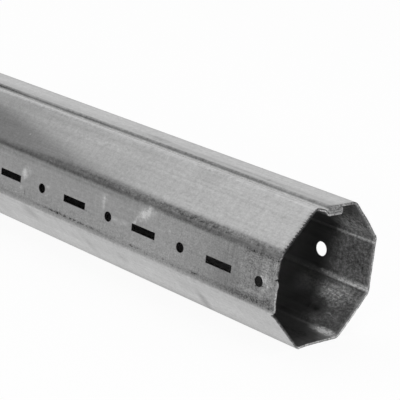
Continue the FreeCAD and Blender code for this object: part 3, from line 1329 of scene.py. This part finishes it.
@dataclass(frozen=True)
class ZincCoat(MetalFinish):
    """Matt zinc coating of the outside, with rolling lines, mottling, worn bends, rubs, and painted
    shade, reflections and highlights.
    """

    name: str = "rolled zinc coat"
    colour: Triple = (0.565, 0.565, 0.565)
    metallic: float = 0.9
    roughness: float = 0.42
    marks: tuple[Mark, ...] = ()

    def pattern(self, s: Shader) -> Pattern:
        """Tone, bumps and roughness of the coating.

        Tone is one, plus slow and fine mottling, rolling lines, chatter across them and
        rubs, some of them painted highlights, less the worn bands, which a coarse speckle breaks
        up and which also hold painted shade. All of it is times the shade, which holds painted
        shade and a painted reflection besides slow changes of tone. The punched flat is grittier
        towards its end and its lower edge.

        Args:
            s: Shader to add nodes to.

        Returns:
            The pattern.
        """
        place = s.attribute(PLACE_ATTRIBUTE, "Vector")
        along, across, _ = s.parts(place)
        slow = s.noise(place, (38.0, 110.0, 1.0), 3.0, 0.55)
        grain = s.noise(place, (420.0, 560.0, 1.0), 5.0, 0.72, 3.0)
        fine = s.noise(place, (1300.0, 1500.0, 1.0), 2.0, 0.6, 4.0)
        lines = s.noise(place, (10.0, 900.0, 1.0), 3.0, 0.6, 7.0)
        chatter = s.noise(place, (700.0, 70.0, 1.0), 3.0, 0.6, 9.0)
        speckle = s.noise(place, (640.0, 800.0, 1.0), 4.0, 0.76, 11.0)
        specks = s.rise(s.noise(place, (620.0, 500.0, 1.0), 3.0, 0.7, 13.0), 0.42, 0.62)

        punched_flat = s.fall(s.maths("ABSOLUTE", across), 0.0105, 0.0120)
        rough_end = s.product(punched_flat, s.rise(along, 0.170, 0.195))
        rougher = s.largest(
            s.rise(along, 0.130, 0.170, 0.0, 0.7),
            s.rise(across, 0.0010, 0.0080, 0.0, 0.8),
            s.rise(along, 0.190, 0.200, 0.0, 1.9),
        )
        dotted = s.rubs(place, [mark for mark in self.marks if mark.dotted])
        plain = s.rubs(s.pushed(place, 300.0, 0.003), [mark for mark in self.marks if not mark.dotted])
        changes = s.total(
            s.swing(slow, 0.08),
            s.swing(grain, 0.34),
            s.product(s.swing(fine, 1.0), s.line(s.product(rougher, punched_flat), 0.42, 0.22)),
            s.swing(lines, 0.15),
            s.product(s.swing(chatter, 1.0), s.line(rough_end, 0.30, 0.11)),
            s.product(dotted, specks),
            s.product(plain, s.rise(grain, 0.25, 0.75, 0.45, 1.55)),
        )
        # The wear attribute also carries painted shade on the bend below the lower front flat
        worn = s.product(s.attribute(WEAR_AND_PAINTED_LIGHT_ATTRIBUTE), s.rise(speckle, 0.3, 0.72, 0.95, 0.51))
        tone = s.product(s.total(1.0, s.maths("SUBTRACT", changes, worn)), s.attribute(SHADE_ATTRIBUTE))
        height = s.total(s.product(lines, 0.5), grain)
        return Pattern(tone, height, s.total(s.swing(grain, 0.12), self.roughness))


@dataclass(frozen=True)
class DarkInside(MetalFinish):
    """Inside face: matt, with a dark colour that is painted shade, and lighter grey in a zone at each
    mouth.
    """

    name: str = "shaded inside face"
    # Painted shade: the inside's dark colour stands in for the shade inside the tube
    colour: Triple = (0.30, 0.30, 0.30)
    metallic: float = 0.5
    roughness: float = 0.5
    mouth_zone_reach: float = 0.022
    darkest: float = 0.08
    marks: tuple[Mark, ...] = ()

    def pattern(self, s: Shader) -> Pattern:
        """Tone, bumps and roughness of the inside.

        A dark tone with lengthwise runs, raised deep inside as painted light, a lighter zone at
        each mouth with mottling and scratches across the strip, a lit edge at the back of the
        mouth, rubs and painted light patches, and a painted highlight along each bend that is
        brightest in the zone at the mouth. The rubs leave a narrow line free beside the lower
        back bend.

        Args:
            s: Shader to add nodes to.

        Returns:
            The pattern.
        """
        place = s.attribute(PLACE_ATTRIBUTE, "Vector")
        signed, across, _ = s.parts(place)
        along = s.maths("ABSOLUTE", signed)
        blotch = s.noise(place, (110.0, 190.0, 1.0), 4.0, 0.65, 2.0)
        grain = s.noise(place, (620.0, 760.0, 1.0), 4.0, 0.8, 3.0)
        runs = s.noise(place, (12.0, 600.0, 1.0), 3.0, 0.55, 5.0)
        scratches = s.noise(place, (900.0, 90.0, 1.0), 3.0, 0.6, 6.0)
        rolled = s.noise(place, (150.0, 1000.0, 1.0), 3.0, 0.6, 8.0)

        edge = MOUTH - self.mouth_zone_reach
        zone = s.rise(s.total(along, s.swing(blotch, 0.004)), edge - 0.006, edge + 0.007)
        inputs = {0: s.fall(across, 0.0840, 0.0850), 2: scratches, 3: rolled}
        strokes = s.node("Mix", {"data_type": "FLOAT"}, inputs).outputs[0]
        mottle = s.total(
            s.swing(blotch, 0.6),
            s.rise(grain, 0.40, 0.74, -0.35, 1.9),
            s.swing(strokes, 1.0),
        )
        # The inside marks include painted light patches
        rubs = s.product(s.rubs(s.pushed(place, 260.0, 0.004), self.marks), s.line(mottle, 0.7, 0.85))
        kept = s.largest(s.fall(across, 0.0623, 0.0631), s.rise(across, 0.0640, 0.0700))
        gleam = s.product(
            s.rise(runs, 0.3, 0.7, 0.6, 1.4),
            s.line(zone, 2.3, 0.9),
            s.rise(grain, 0.34, 0.66, 0.6, 1.45),
        )
        tone = s.total(
            s.swing(runs, 0.15),
            s.swing(blotch, 0.18),
            # Painted light: a higher tone deep inside the tube than near the mouths
            s.rise(along, 0.155, 0.188, 1.60, 0.36),
            s.product(zone, s.line(mottle, 0.5, 0.27), s.attribute(SHADE_ATTRIBUTE)),
            s.product(s.rise(across, 0.0610, 0.0640), s.rise(along, 0.2154, 0.2163, 0.0, 0.6)),
            s.product(rubs, kept),
            # Painted highlights along the inside bends, brightest in the zone at the mouth
            s.product(s.attribute(WEAR_AND_PAINTED_LIGHT_ATTRIBUTE), gleam),
        )
        return Pattern(s.largest(tone, self.darkest), grain, self.roughness)


@dataclass(frozen=True)
class CutSteel(MetalFinish):
    """Bare steel of a cut edge: streaked through the wall by the tool."""

    metallic: float = 1.0
    roughness: float = 0.4
    bump_strength: float = 0.3
    bump_height: float = 0.0001
    darkest: float = 0.05
    streaks: float = 0.4
    toned: bool = False

    def pattern(self, s: Shader) -> Pattern:
        """Tone that changes quickly across the strip and slowly through it, and its bumps."""
        place = s.attribute(PLACE_ATTRIBUTE, "Vector")
        streak = s.noise(place, (300.0, 1100.0, 700.0), 4.0, 0.7, 4.0)
        tone = s.total(1.0, s.swing(streak, self.streaks))
        if self.toned:
            tone = s.product(tone, s.attribute(CUT_ATTRIBUTE))
        return Pattern(s.largest(tone, self.darkest), streak, self.roughness)


@dataclass
class Studio:
    """Pale floor, soft light from above and behind, and the camera."""

    camera_place: Triple = (0.611861, -0.48579, 0.232853)
    camera_aim: Triple = (-0.669945, 0.690149, -0.273621)
    camera_up: Triple = (-0.273592, 0.113111, 0.955172)
    lens: float = 145.144
    floor_half: float = 4.0
    floor_drop: float = 0.0001
    pool_half: float = 0.2
    pool_level: float = 0.9
    room_level: float = 0.35
    sky_level: float = 0.8
    dark_level: float = 0.02
    lamp_power: float = 3.0
    front_power: float = 5.0

    def camera(self) -> None:
        """Sets up the camera, whose columns are right, up and back."""
        aim = Vector(self.camera_aim).normalized()
        right = aim.cross(Vector(self.camera_up)).normalized()
        up = right.cross(aim)
        data = bpy.data.cameras.new("camera")
        data.lens = self.lens
        data.sensor_width = 36.0
        data.clip_start = 0.01
        data.clip_end = 50.0
        camera = placed("camera", data)
        turn = Matrix((right, up, -aim)).transposed().to_4x4()
        camera.matrix_world = Matrix.Translation(self.camera_place) @ turn
        bpy.context.scene.camera = camera

    def lamps(self) -> None:
        """A large soft lamp overhead, and a small one in front that lights the mouth."""
        places = (
            ("overhead", (-0.1, 0.1, 1.3), (-0.1, 0.1, 0.0), (1.2, 0.8), self.lamp_power),
            ("front", (0.66, -1.10, 0.36), (MOUTH, 0.0, 0.03), (0.14, 0.14), self.front_power),
        )
        for name, place, target, size, power in places:
            data = bpy.data.lights.new(name, "AREA")
            data.shape = "RECTANGLE"
            data.size = size[0]
            data.size_y = size[1]
            data.energy = power
            lamp = placed(name, data)
            lamp.location = place
            aim = Vector(target) - Vector(place)
            lamp.rotation_euler = aim.to_track_quat("-Z", "Y").to_euler()

    def world(self) -> None:
        """Soft room: pale above and behind, dark low on the camera's side.

        The camera sees it white.
        """
        world = bpy.data.worlds.new("soft room")
        bpy.context.scene.world = world
        s = Shader.on(world)
        _, back, up = s.parts(s.node("TexCoord").outputs["Generated"])
        sky = s.product(s.largest(s.rise(up, 0.12, 0.6), s.rise(back, -0.15, 0.5)), self.sky_level)
        seen = s.node("LightPath").outputs["Is Camera Ray"]
        strength = s.largest(sky, self.dark_level, seen)
        background = s.node("Background", inputs={"Color": (1.0, 1.0, 1.0, 1.0), "Strength": strength})
        s.node("OutputWorld", inputs={"Surface": background.outputs[0]})

    def floor(self) -> bpy.types.Object:
        """Plain pale floor that glows a little next to the tube, like a light table.

        Returns:
            The floor.
        """
        half = self.floor_half
        plan = ((-half, -half), (half, -half), (half, half), (-half, half))
        corners = [(x, y, -self.floor_drop) for x, y in plan]
        mesh = bpy.data.meshes.new("floor")
        mesh.from_pydata(corners, [], [(0, 1, 2, 3)])
        floor = placed("floor", mesh)

        material = bpy.data.materials.new("pale floor")
        s = Shader.on(material)
        x, y, _ = s.parts(s.node("TexCoord").outputs["Object"])
        past = s.largest(s.maths("SUBTRACT", s.maths("ABSOLUTE", x), self.pool_half), 0.0)
        spot = s.node("CombineXYZ", inputs={"X": past, "Y": y}).outputs[0]
        distance = s.vector("LENGTH", {0: spot}, "Value")
        pool = s.rise(distance, 0.03, 0.12, self.pool_level, self.room_level)
        path = s.node("LightPath").outputs
        glow = s.largest(pool, path["Is Camera Ray"])
        seen = s.largest(path["Is Glossy Ray"], path["Is Transmission Ray"], path["Is Camera Ray"])
        share = s.line(seen, 0.32, 0.6)
        lit = s.node("BsdfDiffuse", inputs={"Color": (0.9, 0.9, 0.9, 1.0)}).outputs[0]
        shine = s.node("Emission", inputs={"Color": (1.0, 1.0, 1.0, 1.0), "Strength": glow}).outputs[0]
        surface = s.node("MixShader", inputs={0: share, 1: lit, 2: shine}).outputs[0]
        s.node("OutputMaterial", inputs={"Surface": surface})
        mesh.materials.append(material)
        return floor


def main() -> None:
    logging.basicConfig(level=logging.INFO, format="%(message)s")
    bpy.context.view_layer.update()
    bpy.context.scene.view_settings.view_transform = "Standard"

    studio = Studio()
    studio.camera()
    studio.lamps()
    studio.world()
    studio.floor()

    tube = Tube().build()
    finishes = {
        Cut.ROLLED_OUTSIDE: ZincCoat(marks=MARKS),
        Cut.ROLLED_INSIDE: DarkInside(marks=INSIDE_MARKS),
        Cut.SAWN: CutSteel("sawn steel", (0.5, 0.5, 0.5), streaks=2.1, toned=True),
        # Painted shade: the punched walls' near-black colour stands in for the shade in the holes
        Cut.PUNCHED: CutSteel("punched steel", (0.03, 0.03, 0.03), roughness=0.7),
    }
    for cut in Cut:
        tube.data.materials.append(finishes[cut].material())
    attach(tube, "root")
    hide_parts(CAD_NODE)


if __name__ == "__main__":
    main()
